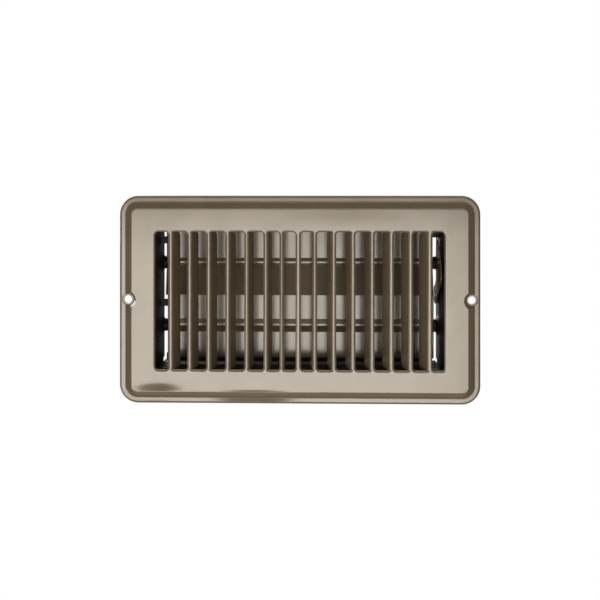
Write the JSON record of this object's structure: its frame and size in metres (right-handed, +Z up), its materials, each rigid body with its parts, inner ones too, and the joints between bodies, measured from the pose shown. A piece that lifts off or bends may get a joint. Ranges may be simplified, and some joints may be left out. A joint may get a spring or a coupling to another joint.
{
  "type": "louvred air register",
  "caption": "Rectangular wall or floor air register with a stamped louvred face of upright vanes, a shallow box behind it and linked damper blades worked by a thumb wheel.",
  "frame": {"origin": "centre of the flange's back plane, where the register rests on the wall, midway between the two screw holes", "axes": "+X along the face to the right as seen from the room, +Z up the face, +Y into the duct"},
  "size_m": [0.2414, 0.0517, 0.1392],
  "materials": {
    "face_paint": "semi-gloss metallic enamel",
    "blade_paint": "semi-gloss metallic enamel",
    "wheel_paint": "semi-gloss metallic enamel",
    "box_paint": "matt black enamel",
    "black_nylon": "moulded",
    "rivet_steel": "zinc plated"
  },
  "bodies": {
    "frame": {"faceplate": "face_paint", "top_wall": "box_paint", "bottom_wall": "box_paint", "left_end_wall": "box_paint", "right_end_wall": "box_paint", "corner_rivets": "rivet_steel", "upper_left_bush": "black_nylon", "upper_right_bush": "black_nylon", "lower_left_bush": "black_nylon", "lower_right_bush": "black_nylon", "wheel_bush": "black_nylon"},
    "upper_damper": {"upper_blade": "blade_paint", "upper_left_pivot": "black_nylon", "upper_right_pivot": "black_nylon", "upper_gear": "black_nylon"},
    "lower_damper": {"lower_blade": "blade_paint", "lower_left_pivot": "black_nylon", "lower_right_pivot": "black_nylon", "lower_gear": "black_nylon"},
    "thumb_drive": {"thumb_wheel": "wheel_paint", "wheel_gear": "black_nylon", "wheel_rivet": "rivet_steel", "friction_washer": "rivet_steel"}
  },
  "joints": [
    {"name": "upper_blade_pivot", "type": "hinge", "parent": "frame", "child": "upper_damper", "pos_m": [0, 0.0332, 0.022], "axis": [-1, 0, 0], "range_deg": [0, 80]},
    {"name": "lower_blade_pivot", "type": "hinge", "parent": "frame", "child": "lower_damper", "pos_m": [0, 0.0332, -0.022], "axis": [-1, 0, 0], "range_deg": [0, 80]},
    {"name": "thumb_wheel_pivot", "type": "hinge", "parent": "frame", "child": "thumb_drive", "pos_m": [0.0951, 0.0332, 0], "axis": [1, 0, 0], "range_deg": [0, 80]}
  ],
  "couplings": [
    {"joint": "lower_blade_pivot", "follows": "upper_blade_pivot", "ratio": 1},
    {"joint": "thumb_wheel_pivot", "follows": "upper_blade_pivot", "ratio": 1}
  ]
}
